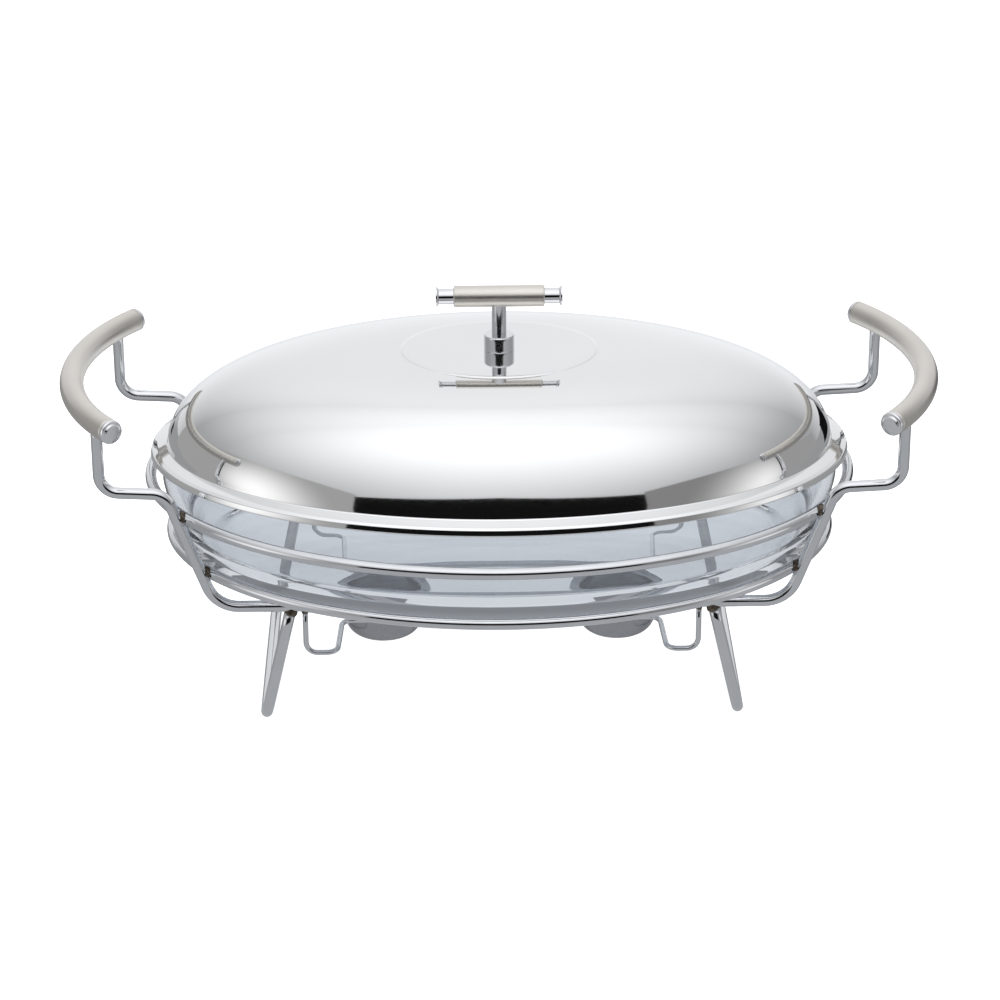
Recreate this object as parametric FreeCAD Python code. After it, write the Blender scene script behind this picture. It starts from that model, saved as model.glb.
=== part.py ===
import FreeCAD, Part
import math
import os

# Oval chafing dish: a clear glass casserole in a bent wire stand, with a polished lid and two
# burner cups below. Millimetres. The origin is on the table, under the middle of the dish.
# X runs from handle to handle, Y runs from front to back, and Z is up.

V = FreeCAD.Vector
UP = V(0, 0, 1)

# Glass dish
RIM_A = 176.2             # half axes of the rim's outside, along X and along Y
RIM_B = 107.5
DISH_H = 61.2             # from the base to the rim
FLARE_X = 26.2            # how much wider the rim is than the flat base, on each side
FLARE_Y = 24.5
WALL_T = 5.0
FLOOR_T = 6.0
LIP_H = 6.0               # height of the upright lip under the rim
LIP_FLARE = 0.6           # how far the lip widens to the rim
HEEL_H = 9.0              # height of the rounded heel between base and wall
HEEL_OUT = 7.0            # how far the heel swells past the base
HEEL_BEND = 0.3           # share of the heel's height where its rounding turns upwards
INSIDE_CORNER = 3.0       # how far the floor's rounded corner reaches in and up

REST = 0.3                # play between a loose piece and the seat that it rests on

# Stand wire
WIRE_D = 6.0              # thick wire of the stand
THIN_D = 2.8              # thin wire of the burner rack
SET_DOWN = 1.0            # how deep a welded crossing presses one wire into the other
WELD_GAP = 0.1            # what is left between a wire's end and the wire it is welded under
BEND_R = 10.0             # centreline radius of the bends of the thick wire
CRADLE_BEND_R = 17.0      # and of its bends under the dish

# Heights of the wires' centrelines, each from the one before
CRADLE_H = 68.2           # the runs of the main wires that carry the dish, above the table
LOWER_RING_RISE = 18.1
UPPER_RING_RISE = 31.2
SHOULDER_LIFT = 14.3      # from the upper ring to where the main wires turn out
SHOULDER_RISE = 1.6       # how far they climb on the way to the handles
HANDLE_RISE = 38.6        # from there to the centreline of the handle tubes
RACK_DROP = 27.1          # from the cradle down to the burner wires

# Plan of the stand
CRADLE_Y = 63.9           # each main wire lies in its own upright plane
RING_GAP_X = 6.8          # from the dish's rim out to the upper ring's centreline
RING_GAP_Y = 23.5
RING_STEP_X = 10.0        # how much smaller the lower ring is, on each side
RING_STEP_Y = 7.5
HANDLE_OUT = 20.6         # from the upper ring to the uprights of the handles

# Handles
TUBE_D = 12.5
TUBE_WALL = 1.25
TUBE_BOW = 17.7           # how far the tube bows out past its uprights
TUBE_OVERHANG = 14.5      # length of tube past each upright, along its curve
UPRIGHT_ENTRY = 2.5       # how far an upright ends above the tube's centreline
UPRIGHT_FIT = 0.1         # radial play of an upright in the tube's wall
CAP_FLANGE_T = 2.2
CAP_FACE_D = 9.6
CAP_FACE_T = 1.0
CAP_PLUG_L = 6.0
CAP_PLUG_FIT = 0.1

# Weld beads
CROSS_BEAD_R = 3.5        # where thick wires meet
THIN_BEAD_R = 1.9         # where a thin wire meets another wire
RACK_BEAD_DROP = 0.5      # how far a cup ring's beads lie below its axis, clear of the flange

# Burner cups
CUP_X = 62.3              # centres of the burner cups
CUP_R = 20.7
CUP_DEPTH = 20.7
CUP_CORNER_R = 8.7
CUP_WALL = 0.8
CUP_PLAY = 2.1            # between a cup and the ring that it hangs in
CUP_FLANGE_OVERLAP = 0.9  # how far the flange reaches past the centreline of its ring

# Burner rack and legs
RACK_STEP_OUT = 23.2      # from a cup's centre to where the burner wires turn inwards along Y
RACK_RUN = 16.0           # from there to where they hang from the main wires
RACK_SLANT = 1.8          # how far the inward run leans to the middle
RACK_BEND_R = 6.0
LEG_GAP = 6.7             # from there to where a leg loop hangs from the main wires
LEG_SPLAY = 13.3          # degrees from upright

# Lid
SHEET_T = 0.8
HEM_REACH_X = 6.4         # from the dish's rim out to the lowest edge of the lid
HEM_REACH_Y = 6.3
BRIM_REACH_X = 2.8        # from the dish's rim out to the top of the skirt
BRIM_REACH_Y = 4.6
FOOT_INSET_X = 2.4        # from the dish's rim in to the foot of the dome
FOOT_INSET_Y = 1.9
SKIRT_H = 4.0
BRIM_RISE = 1.3           # how far the brim climbs inwards to the dome
DOME_RISE = 49.2
DOME_ROUNDNESS_X = 4.0    # exponents of the dome's long side and short side
DOME_ROUNDNESS_Y = 5.0
DOME_FLATNESS_X = 1.85
DOME_FLATNESS_Y = 1.0
DOME_SECTIONS = 9
CROWN_ANGLE = 83.3        # degrees of the last section, just outside the knob
PLATEAU_A = 51.5          # raised oval on the top
PLATEAU_B = 40.0
PLATEAU_STEP = 0.3

# Knob
COLLAR_D = 15.8
COLLAR_H = 8.2
COLLAR_CHAMFER = 0.9
STEM_D = 7.7
STEM_SINK = 2.5           # depth of the stem's seat in the collar
BAR_RISE = 20.7           # from the collar's top to the centreline of the bar
ROD_D = 8.4
ROD_END = 7.8             # how far the rod shows past each end of the sleeve
SLEEVE_L = 46.8
SLEEVE_WALL = 1.4
SLIP = 0.05               # radial play between the knob's pieces
TIP_FLARE = 1.0           # how far the end discs stand out past the rod
TIP_T = 1.5
TIP_CHAMFER = 0.35
SCREW_D = 4.0
SCREW_HEAD_D = 7.5
SCREW_HEAD_H = 2.4
SCREW_HEAD_CHAMFER = 1.45
SCREW_GRIP = 4.5          # length of screw in the collar
WASHER_D = 12.0
WASHER_T = 1.0

# Heights worked out from the values above
LOWER_RING_H = CRADLE_H + LOWER_RING_RISE
UPPER_RING_H = LOWER_RING_H + UPPER_RING_RISE
SHOULDER_H = UPPER_RING_H + SHOULDER_LIFT
HANDLE_H = SHOULDER_H + SHOULDER_RISE + HANDLE_RISE
RACK_H = CRADLE_H - RACK_DROP
BASE_H = CRADLE_H + WIRE_D / 2 + REST
RIM_H = BASE_H + DISH_H

# Half axes and places worked out from the values above
BASE_A = RIM_A - FLARE_X
BASE_B = RIM_B - FLARE_Y
UPPER_RING_A = RIM_A + RING_GAP_X
UPPER_RING_B = RIM_B + RING_GAP_Y
LOWER_RING_A = UPPER_RING_A - RING_STEP_X
LOWER_RING_B = UPPER_RING_B - RING_STEP_Y
HANDLE_X = UPPER_RING_A + HANDLE_OUT
RACK_STEP_X = CUP_X + RACK_STEP_OUT
RACK_X = RACK_STEP_X + RACK_RUN
LEG_X = RACK_X + LEG_GAP
CUP_RING_R = CUP_R + CUP_PLAY + THIN_D / 2
HEM_A = RIM_A + HEM_REACH_X
HEM_B = RIM_B + HEM_REACH_Y
BRIM_A = RIM_A + BRIM_REACH_X
BRIM_B = RIM_B + BRIM_REACH_Y
FOOT_A = RIM_A - FOOT_INSET_X
FOOT_B = RIM_B - FOOT_INSET_Y
ROD_L = SLEEVE_L + 2 * ROD_END
SLEEVE_D = ROD_D + 2 * (SLIP + SLEEVE_WALL)


def rounded_path(corners, radii):
    """Straight runs between the corners, joined by tangent arcs, one radius per inner corner."""
    edges = []
    start = corners[0]
    for before, corner, after, radius in zip(corners, corners[1:], corners[2:], radii):
        back = (before - corner).normalize()
        ahead = (after - corner).normalize()
        half = back.getAngle(ahead) / 2
        reach = radius / math.tan(half)
        middle = (back + ahead).normalize()
        centre = corner + middle * (radius / math.sin(half))
        first = corner + back * reach
        last = corner + ahead * reach
        edges.append(Part.LineSegment(start, first).toShape())
        edges.append(Part.Arc(first, centre - middle * radius, last).toShape())
        start = last
    edges.append(Part.LineSegment(start, corners[-1]).toShape())
    return Part.Wire(edges)


def swept_rod(path, start, heading, diameter):
    """A round rod along a path that leaves its start point in the heading's direction."""
    profile = Part.Wire(Part.Circle(start, heading, diameter / 2).toShape())
    return path.makePipeShell([profile], True, False)


def bent_wire(corners, radii, diameter):
    path = rounded_path(corners, radii)
    return swept_rod(path, corners[0], corners[1] - corners[0], diameter)


def ellipse_curve_radius(a, b, angle):
    """Radius of curvature of an ellipse where its normal makes this angle with X."""
    return (a * b) ** 2 / ((a * math.cos(angle)) ** 2 + (b * math.sin(angle)) ** 2) ** 1.5


def oval_arcs(a, b):
    """One quarter of an oval as tangent arcs: (radius, angle where it starts, where it ends).

    The middle arcs take the radius of the ellipse with these half axes. The first and the last
    are solved so that the quarter starts on X at a and ends on Y at b.
    """
    turns = [math.radians(angle) for angle in (0, 22, 42, 64, 90)]
    spans = list(zip(turns, turns[1:]))
    radii = [ellipse_curve_radius(a, b, (first + last) / 2) for first, last in spans]
    along_x = [math.cos(first) - math.cos(last) for first, last in spans]
    along_y = [math.sin(last) - math.sin(first) for first, last in spans]
    left_x = a - sum(r * x for r, x in zip(radii[1:-1], along_x[1:-1]))
    left_y = b - sum(r * y for r, y in zip(radii[1:-1], along_y[1:-1]))
    det = along_x[0] * along_y[-1] - along_x[-1] * along_y[0]
    radii[0] = (left_x * along_y[-1] - along_x[-1] * left_y) / det
    radii[-1] = (along_x[0] * left_y - left_x * along_y[0]) / det
    return [(radius, first, last) for radius, (first, last) in zip(radii, spans)]


def oval_ring(a, b, height):
    """A closed oval ring of the thick wire, made of torus pieces that meet on a tangent."""
    x = a
    y = 0.0
    pieces = []
    for radius, first, last in oval_arcs(a, b):
        centre_x = x - radius * math.cos(first)
        centre_y = y - radius * math.sin(first)
        section = Part.Wire(Part.Circle(V(radius, 0, 0), V(0, 1, 0), WIRE_D / 2).toShape())
        piece = Part.Face(section).revolve(V(0, 0, 0), UP, math.degrees(last - first))
        piece.rotate(V(0, 0, 0), UP, math.degrees(first))
        piece.translate(V(centre_x, centre_y, height))
        pieces.append(piece)
        x = centre_x + radius * math.cos(last)
        y = centre_y + radius * math.sin(last)
    pieces += [mirror_x(piece) for piece in pieces]
    pieces += [mirror_y(piece) for piece in pieces]
    return pieces[0].fuse(pieces[1:])


def mirror_x(shape):
    return shape.mirror(V(0, 0, 0), V(1, 0, 0))


def mirror_y(shape):
    return shape.mirror(V(0, 0, 0), V(0, 1, 0))


def in_four_quarters(shape):
    """The shape and its mirror images left and right, front and back."""
    pair = [shape, mirror_x(shape)]
    return pair + [mirror_y(each) for each in pair]


def oval_x(a, b, y):
    """X and the outward normal of the oval of arcs at this y, in the first quarter."""
    start_x = a
    start_y = 0.0
    for radius, first, last in oval_arcs(a, b):
        centre_x = start_x - radius * math.cos(first)
        centre_y = start_y - radius * math.sin(first)
        start_x = centre_x + radius * math.cos(last)
        start_y = centre_y + radius * math.sin(last)
        if y <= start_y:
            angle = math.asin((y - centre_y) / radius)
            return centre_x + radius * math.cos(angle), angle
    raise ValueError("the oval does not reach this y")


def crossing(a, b, lean):
    """Where a main wire crosses a ring: X of the wire's axis and the normal between them.

    The main wire stands in its upright plane and leans along (lean, 0, 1). It passes outside
    the ring, pressed into it by the weld's set down.
    """
    reach = WIRE_D - SET_DOWN
    y = CRADLE_Y
    for _ in range(8):
        x, angle = oval_x(a, b, y)
        tangent = V(-math.sin(angle), math.cos(angle), 0)
        normal = tangent.cross(V(lean, 0, 1)).normalize()
        y = CRADLE_Y - reach * normal.y
    return x + reach * normal.x, normal


def main_wire_lean():
    """How far a main wire leans outwards for each mm that it rises past the two rings."""
    lean = 0.4
    for _ in range(8):
        low_x = crossing(LOWER_RING_A, LOWER_RING_B, lean)[0]
        high_x = crossing(UPPER_RING_A, UPPER_RING_B, lean)[0]
        lean = (high_x - low_x) / (UPPER_RING_H - LOWER_RING_H)
    return lean


def slant_point(height):
    """The point of the rear right slant's axis at this height."""
    lean = main_wire_lean()
    low_x = crossing(LOWER_RING_A, LOWER_RING_B, lean)[0]
    return V(low_x + lean * (height - LOWER_RING_H), CRADLE_Y, height)


def main_wire_corners():
    """Corner points of the rear main wire, from the left handle to the right one."""
    top = HANDLE_H + UPRIGHT_ENTRY
    right = [
        slant_point(CRADLE_H),
        slant_point(SHOULDER_H),
        V(HANDLE_X, CRADLE_Y, SHOULDER_H + SHOULDER_RISE),
        V(HANDLE_X, CRADLE_Y, top),
    ]
    left = [V(-p.x, p.y, p.z) for p in reversed(right)]
    return left + right


def main_wire():
    radii = [BEND_R, BEND_R, CRADLE_BEND_R, CRADLE_BEND_R, BEND_R, BEND_R]
    return bent_wire(main_wire_corners(), radii, WIRE_D)


def slant_rod():
    """The straight slanted run of the rear right main wire, by itself."""
    low = slant_point(CRADLE_H)
    high = slant_point(SHOULDER_H)
    return Part.makeCylinder(WIRE_D / 2, (high - low).Length, low, high - low)


def cradle_rod(gap):
    """The straight run of the rear main wire under the dish, made thicker by a gap."""
    end = slant_point(CRADLE_H)
    start = V(-end.x, end.y, end.z)
    return Part.makeCylinder(WIRE_D / 2 + gap, 2 * end.x, start, V(1, 0, 0))


def welded_ring(a, b, height):
    """A ring with a shallow seat pressed into it where each main wire crosses it."""
    return oval_ring(a, b, height).cut(in_four_quarters(slant_rod()))


def leg_foot_x():
    return LEG_X + (CRADLE_H - WIRE_D / 2) * math.tan(math.radians(LEG_SPLAY))


def leg_loop():
    """The right leg: down from the front main wire, along the table, up to the rear one."""
    floor = WIRE_D / 2
    corners = [
        V(LEG_X, -CRADLE_Y, CRADLE_H),
        V(leg_foot_x(), -CRADLE_Y, floor),
        V(leg_foot_x(), CRADLE_Y, floor),
        V(LEG_X, CRADLE_Y, CRADLE_H),
    ]
    leg = bent_wire(corners, [BEND_R, BEND_R], WIRE_D)
    rod = cradle_rod(WELD_GAP)
    return leg.cut([rod, mirror_y(rod)])


def rack_y():
    """Y of the straight run of a burner wire, beside the cups' rings."""
    return CUP_RING_R + THIN_D + WELD_GAP


def burner_wire():
    """The rear burner wire, bent down, in along Y and across behind both cups."""
    right = [
        V(RACK_STEP_X - RACK_SLANT, rack_y(), RACK_H),
        V(RACK_STEP_X, CRADLE_Y, RACK_H),
        V(RACK_X, CRADLE_Y, RACK_H),
        V(RACK_X, CRADLE_Y, CRADLE_H),
    ]
    left = [V(-p.x, p.y, p.z) for p in reversed(right)]
    wire = bent_wire(left + right, [RACK_BEND_R] * 6, THIN_D)
    return wire.cut(cradle_rod(WELD_GAP))


def burner_ring(x):
    return Part.makeTorus(CUP_RING_R, THIN_D / 2, V(x, 0, RACK_H), UP)


def ring_bead(a, b, height):
    """The bead in the corner where the rear right slant crosses a ring."""
    x, normal = crossing(a, b, main_wire_lean())
    middle = V(x, CRADLE_Y, height) - normal * ((WIRE_D - SET_DOWN) / 2)
    return Part.makeSphere(CROSS_BEAD_R, middle)


def weld_beads(wires):
    """All weld beads, each rounded off against the wires that it joins."""
    under_cradle = CRADLE_H - WIRE_D / 2
    beads = [
        ring_bead(UPPER_RING_A, UPPER_RING_B, UPPER_RING_H),
        ring_bead(LOWER_RING_A, LOWER_RING_B, LOWER_RING_H),
        Part.makeSphere(CROSS_BEAD_R, V(LEG_X, CRADLE_Y, under_cradle)),
        Part.makeSphere(THIN_BEAD_R, V(RACK_X, CRADLE_Y, under_cradle)),
        Part.makeSphere(THIN_BEAD_R, V(CUP_X, rack_y() - THIN_D / 2, RACK_H - RACK_BEAD_DROP)),
    ]
    cut = [bead.cut(wires) for bead in beads]
    return Part.makeCompound([solid for bead in cut for each in in_four_quarters(bead)
                              for solid in each.Solids])


def revolved(outline, x=0.0):
    """Turns a closed outline of (radius, height) points about an upright axis at x."""
    points = [V(r, 0, z) for r, z in outline]
    face = Part.Face(Part.makePolygon(points + points[:1]))
    solid = face.revolve(V(0, 0, 0), UP, 360)
    solid.translate(V(x, 0, 0))
    return solid


def cup_body(radius, top, depth, corner):
    """A round bar with a rounded lower edge."""
    body = Part.makeCylinder(radius, depth, V(0, 0, top - depth))
    lowest = min(body.Edges, key=lambda edge: edge.CenterOfMass.z)
    return body.makeFillet(corner, [lowest])


def burner_cup(x):
    """A pressed cup that hangs in its ring by a flat flange."""
    seat = RACK_H + THIN_D / 2 + REST
    flange_r = CUP_RING_R + CUP_FLANGE_OVERLAP
    outside = cup_body(CUP_R, seat + CUP_WALL, CUP_DEPTH + CUP_WALL, CUP_CORNER_R)
    flange = Part.makeCylinder(flange_r, CUP_WALL, V(0, 0, seat))
    inside = cup_body(CUP_R - CUP_WALL, seat + CUP_WALL, CUP_DEPTH, CUP_CORNER_R - CUP_WALL)
    cup = outside.fuse(flange).cut(inside).removeSplitter()
    cup.translate(V(x, 0, 0))
    return cup


def tube_radius():
    """Radius of the handle's curve, through both uprights and the bow between them."""
    return (CRADLE_Y ** 2 + TUBE_BOW ** 2) / (2 * TUBE_BOW)


def tube_centre_x():
    return HANDLE_X + TUBE_BOW - tube_radius()


def tube_end_angle():
    """Half the angle that the tube spans, in degrees."""
    radius = tube_radius()
    return math.degrees(math.asin(CRADLE_Y / radius) + TUBE_OVERHANG / radius)


def curved_bar(diameter):
    """A round bar along the right handle's curve."""
    radius = tube_radius()
    half = tube_end_angle()
    centre = V(tube_centre_x(), 0, HANDLE_H)
    section = Part.Face(Part.Wire(Part.Circle(V(radius, 0, 0), V(0, 1, 0), diameter / 2).toShape()))
    bar = section.revolve(V(0, 0, 0), UP, 2 * half)
    bar.rotate(V(0, 0, 0), UP, -half)
    bar.translate(centre)
    return bar


def tube_bore():
    return TUBE_D - 2 * TUBE_WALL


def handle_tube():
    """The right handle: a bowed tube with a hole under it for each upright."""
    tube = curved_bar(TUBE_D).cut(curved_bar(tube_bore()))
    hole_r = WIRE_D / 2 + UPRIGHT_FIT
    for y in (-CRADLE_Y, CRADLE_Y):
        tube = tube.cut(Part.makeCylinder(hole_r, TUBE_D, V(HANDLE_X, y, HANDLE_H - TUBE_D)))
    return tube


def handle_cap():
    """The cap in the rear end of the right handle."""
    plug_r = tube_bore() / 2 - CAP_PLUG_FIT
    flange_r = TUBE_D / 2
    face_r = CAP_FACE_D / 2
    face_top = CAP_FLANGE_T + CAP_FACE_T
    cap = revolved([
        (0, -CAP_PLUG_L),
        (plug_r, -CAP_PLUG_L),
        (plug_r, 0),
        (flange_r, 0),
        (flange_r, CAP_FLANGE_T - CAP_FACE_T),
        (face_r + CAP_FACE_T, CAP_FLANGE_T),
        (face_r, CAP_FLANGE_T),
        (face_r - CAP_FACE_T, face_top),
        (0, face_top),
    ])
    angle = tube_end_angle()
    cap.rotate(V(0, 0, 0), V(1, 0, 0), -90)
    cap.translate(V(tube_radius(), 0, 0))
    cap.rotate(V(0, 0, 0), UP, angle)
    cap.translate(V(tube_centre_x(), 0, HANDLE_H))
    return cap


def oval(half_x, half_y, height):
    return Part.Wire(Part.Ellipse(V(0, 0, height), half_x, half_y).toShape())


def oval_loft(sections, ruled):
    wires = [oval(a, b, z) for a, b, z in sections]
    return Part.makeLoft(wires, True, ruled)


def glass_dish():
    """An oval dish with a flat base, a rounded heel, flared walls and an upright lip."""
    heel_a = BASE_A + HEEL_OUT
    heel_b = BASE_B + HEEL_OUT
    lip_a = RIM_A - LIP_FLARE
    lip_b = RIM_B - LIP_FLARE
    outside = oval_loft([
        (BASE_A, BASE_B, BASE_H),
        (heel_a - HEEL_OUT * HEEL_BEND, heel_b - HEEL_OUT * HEEL_BEND, BASE_H + HEEL_H * HEEL_BEND),
        (heel_a, heel_b, BASE_H + HEEL_H),
        (lip_a, lip_b, RIM_H - LIP_H),
        (RIM_A, RIM_B, RIM_H),
    ], True)
    inside = oval_loft([
        (BASE_A - INSIDE_CORNER, BASE_B - INSIDE_CORNER, BASE_H + FLOOR_T),
        (heel_a - WALL_T, heel_b - WALL_T, BASE_H + HEEL_H + INSIDE_CORNER),
        (lip_a - WALL_T, lip_b - WALL_T, RIM_H - LIP_H),
        (RIM_A - WALL_T, RIM_B - WALL_T, RIM_H + REST),
    ], True)
    return outside.cut(inside)


def brim_height():
    """Top of the skirt, set so that the brim's underside rests over the dish's rim."""
    along_x = BRIM_RISE * (BRIM_A - SHEET_T - RIM_A) / (BRIM_A - FOOT_A)
    along_y = BRIM_RISE * (BRIM_B - SHEET_T - RIM_B) / (BRIM_B - FOOT_B)
    return RIM_H + REST + SHEET_T - min(along_x, along_y)


def foot_height():
    return brim_height() + BRIM_RISE


def dome_section(angle, inset):
    """One oval of the dome: its half axes and height, with the sheet's inset taken off.

    Each side follows (side / foot) ** roundness + (rise / DOME_RISE) ** flatness = 1. The angle
    sets the long side as a cosine of the foot's, and the short side takes the same height.
    """
    along = math.cos(math.radians(angle))
    share = (1 - along ** DOME_ROUNDNESS_X) ** (1 / DOME_FLATNESS_X)
    across = (1 - share ** DOME_FLATNESS_Y) ** (1 / DOME_ROUNDNESS_Y)
    height = foot_height() + (DOME_RISE - inset) * share
    return (FOOT_A - inset) * along, (FOOT_B - inset) * across, height


def dome(inset):
    """The dome as a solid, from its foot to a small flat crown under the knob."""
    steps = range(DOME_SECTIONS)
    sections = [dome_section(CROWN_ANGLE * i / (DOME_SECTIONS - 1), inset) for i in steps]
    return oval_loft(sections, False)


def plateau_height():
    return foot_height() + DOME_RISE + PLATEAU_STEP


def plateau(inset):
    """The raised oval as a solid that starts down at the brim."""
    top = plateau_height() - inset
    face = Part.Face(oval(PLATEAU_A - inset, PLATEAU_B - inset, foot_height()))
    return face.extrude(V(0, 0, top - foot_height()))


def lid_shell():
    """A pressed lid: skirt, brim, dome and a low oval plateau, all of one sheet."""
    t = SHEET_T
    top = brim_height()
    foot = foot_height()
    low = top - SKIRT_H
    brim = oval_loft([(HEM_A, HEM_B, low), (BRIM_A, BRIM_B, top), (FOOT_A, FOOT_B, foot)], True)
    under_brim = oval_loft([
        (HEM_A - t, HEM_B - t, low - t),
        (HEM_A - t, HEM_B - t, low),
        (BRIM_A - t, BRIM_B - t, top - t),
        (FOOT_A - t, FOOT_B - t, foot - t),
        (FOOT_A - t, FOOT_B - t, foot),
    ], True)
    hole = Part.makeCylinder(SCREW_D / 2 + SLIP, 3 * t, V(0, 0, plateau_height() - 2 * t))
    outside = brim.fuse([dome(0), plateau(0)])
    return outside.cut([under_brim, dome(t), plateau(t), hole]).removeSplitter()


def knob_collar():
    """The collar on the lid, with a blind hole for the screw and a seat for the stem."""
    base = plateau_height()
    r = COLLAR_D / 2
    top = base + COLLAR_H
    seat = top - STEM_SINK
    bore = SCREW_D / 2 + SLIP
    stem = STEM_D / 2 + SLIP
    return revolved([
        (bore, base),
        (r, base),
        (r, top - COLLAR_CHAMFER),
        (r - COLLAR_CHAMFER, top),
        (stem, top),
        (stem, seat),
        (0, seat),
        (0, base + SCREW_GRIP + SLIP),
        (bore, base + SCREW_GRIP + SLIP),
    ])


def bar_height():
    return plateau_height() + COLLAR_H + BAR_RISE


def bar_cylinder(diameter, length):
    return Part.makeCylinder(diameter / 2, length, V(-length / 2, 0, bar_height()), V(1, 0, 0))


def knob_stem():
    """The stem, hollowed at its top to sit against the rod."""
    low = plateau_height() + COLLAR_H - STEM_SINK
    stem = Part.makeCylinder(STEM_D / 2, bar_height() - low, V(0, 0, low))
    return stem.cut(bar_cylinder(ROD_D, ROD_L))


def knob_rod():
    return bar_cylinder(ROD_D, ROD_L)


def knob_sleeve():
    """The satin sleeve on the rod, with a hole under it for the stem."""
    sleeve = bar_cylinder(SLEEVE_D, SLEEVE_L).cut(bar_cylinder(ROD_D + 2 * SLIP, SLEEVE_L))
    low = V(0, 0, bar_height() - SLEEVE_D)
    return sleeve.cut(Part.makeCylinder(STEM_D / 2 + SLIP, SLEEVE_D, low))


def knob_tip():
    """The flared disc on the right end of the rod."""
    tip = Part.makeCylinder(ROD_D / 2 + TIP_FLARE, TIP_T, V(ROD_L / 2, 0, bar_height()), V(1, 0, 0))
    return tip.makeChamfer(TIP_CHAMFER, tip.Edges)


def knob_washer():
    top = plateau_height() - SHEET_T
    hole = SCREW_D / 2 + SLIP
    outer = WASHER_D / 2
    return revolved([(hole, top - WASHER_T), (outer, top - WASHER_T), (outer, top), (hole, top)])


def knob_screw():
    """The screw that holds the knob from inside the lid."""
    under = plateau_height() - SHEET_T - WASHER_T
    low = under - SCREW_HEAD_H
    end = plateau_height() + SCREW_GRIP
    shank = SCREW_D / 2
    head = SCREW_HEAD_D / 2
    return revolved([
        (0, low),
        (head - SCREW_HEAD_CHAMFER, low),
        (head, low + SCREW_HEAD_CHAMFER),
        (head, under),
        (shank, under),
        (shank, end),
        (0, end),
    ])


def build():
    rear_main = main_wire()
    rear_rack = burner_wire()
    upper_ring = welded_ring(UPPER_RING_A, UPPER_RING_B, UPPER_RING_H)
    lower_ring = welded_ring(LOWER_RING_A, LOWER_RING_B, LOWER_RING_H)
    cup_ring = burner_ring(CUP_X)
    leg = leg_loop()
    tube = handle_tube()
    cap = handle_cap()
    parts = {
        "front_main_wire": mirror_y(rear_main),
        "rear_main_wire": rear_main,
        "upper_ring": upper_ring,
        "lower_ring": lower_ring,
        "left_leg_loop": mirror_x(leg),
        "right_leg_loop": leg,
        "front_burner_wire": mirror_y(rear_rack),
        "rear_burner_wire": rear_rack,
        "left_burner_ring": burner_ring(-CUP_X),
        "right_burner_ring": cup_ring,
        "left_handle_tube": mirror_x(tube),
        "right_handle_tube": tube,
        "left_rear_handle_cap": mirror_x(cap),
        "right_rear_handle_cap": cap,
        "left_front_handle_cap": mirror_y(mirror_x(cap)),
        "right_front_handle_cap": mirror_y(cap),
        "weld_beads": weld_beads([rear_main, upper_ring, lower_ring, leg, rear_rack, cup_ring]),
        "left_burner_cup": burner_cup(-CUP_X),
        "right_burner_cup": burner_cup(CUP_X),
        "glass_dish": glass_dish(),
        "lid_shell": lid_shell(),
        "knob_collar": knob_collar(),
        "knob_stem": knob_stem(),
        "knob_rod": knob_rod(),
        "knob_sleeve": knob_sleeve(),
        "knob_left_tip": mirror_x(knob_tip()),
        "knob_right_tip": knob_tip(),
        "knob_washer": knob_washer(),
        "knob_screw": knob_screw(),
    }
    return parts


def export(parts):
    os.makedirs("parts", exist_ok=True)
    for name, shape in parts.items():
        solids = shape.Solids
        if not shape.isValid() or not solids:
            raise ValueError(name + " is not a valid solid")
        body = solids[0] if len(solids) == 1 else Part.makeCompound(solids)
        body.exportStep("parts/" + name + ".step")
        print(name, len(solids), round(body.Volume, 1))


export(build())
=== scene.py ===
import math

import bpy
import numpy as np
from bpy.props import FloatProperty, FloatVectorProperty, IntProperty, PointerProperty
from bpy.types import Operator, Panel, PropertyGroup
from mathutils import Matrix, Vector


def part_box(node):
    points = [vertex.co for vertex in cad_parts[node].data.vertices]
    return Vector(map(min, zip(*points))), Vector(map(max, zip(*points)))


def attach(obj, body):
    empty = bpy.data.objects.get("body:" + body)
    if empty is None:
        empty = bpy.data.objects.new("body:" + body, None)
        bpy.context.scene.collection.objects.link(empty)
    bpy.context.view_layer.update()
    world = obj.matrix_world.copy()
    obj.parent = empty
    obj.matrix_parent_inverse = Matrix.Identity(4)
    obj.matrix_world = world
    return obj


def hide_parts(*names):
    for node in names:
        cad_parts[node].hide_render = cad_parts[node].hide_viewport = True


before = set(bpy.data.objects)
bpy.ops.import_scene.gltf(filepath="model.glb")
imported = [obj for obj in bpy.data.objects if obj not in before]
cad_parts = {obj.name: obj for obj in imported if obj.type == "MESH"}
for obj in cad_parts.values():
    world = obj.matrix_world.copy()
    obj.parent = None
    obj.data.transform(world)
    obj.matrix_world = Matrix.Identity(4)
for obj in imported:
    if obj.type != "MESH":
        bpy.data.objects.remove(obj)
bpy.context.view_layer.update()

bl_info = {
    "name": "Chafing Dish",
    "version": (1, 0, 0),
    "blender": (4, 5, 0),
    "location": "3D View > Sidebar > Chafing Dish",
    "description": "Dresses an oval chafing dish: wire stand, glass, lid, knob and cups",
    "category": "Add Mesh",
}


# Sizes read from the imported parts

def box(node):
    """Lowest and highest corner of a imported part, as arrays."""
    low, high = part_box(node)
    return np.array(low), np.array(high)


def middle(node):
    """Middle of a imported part's box."""
    low, high = box(node)
    return (low + high) / 2


def half_size(node):
    """Half the length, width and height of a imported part."""
    low, high = box(node)
    return (high - low) / 2


# Surfaces

STRAIGHT = 1.56  # half angle, in radians, over which a corner counts as straight
RUN_SPACING = 0.012  # distance of the points along a wire's long runs
AXIS_GAP = 0.001  # how far the ends of a turned outline stay from the axis
PASSES = 8  # rounds of a search, after which its value stays the same
HALVINGS = 40  # rounds of a search by halving


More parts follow.
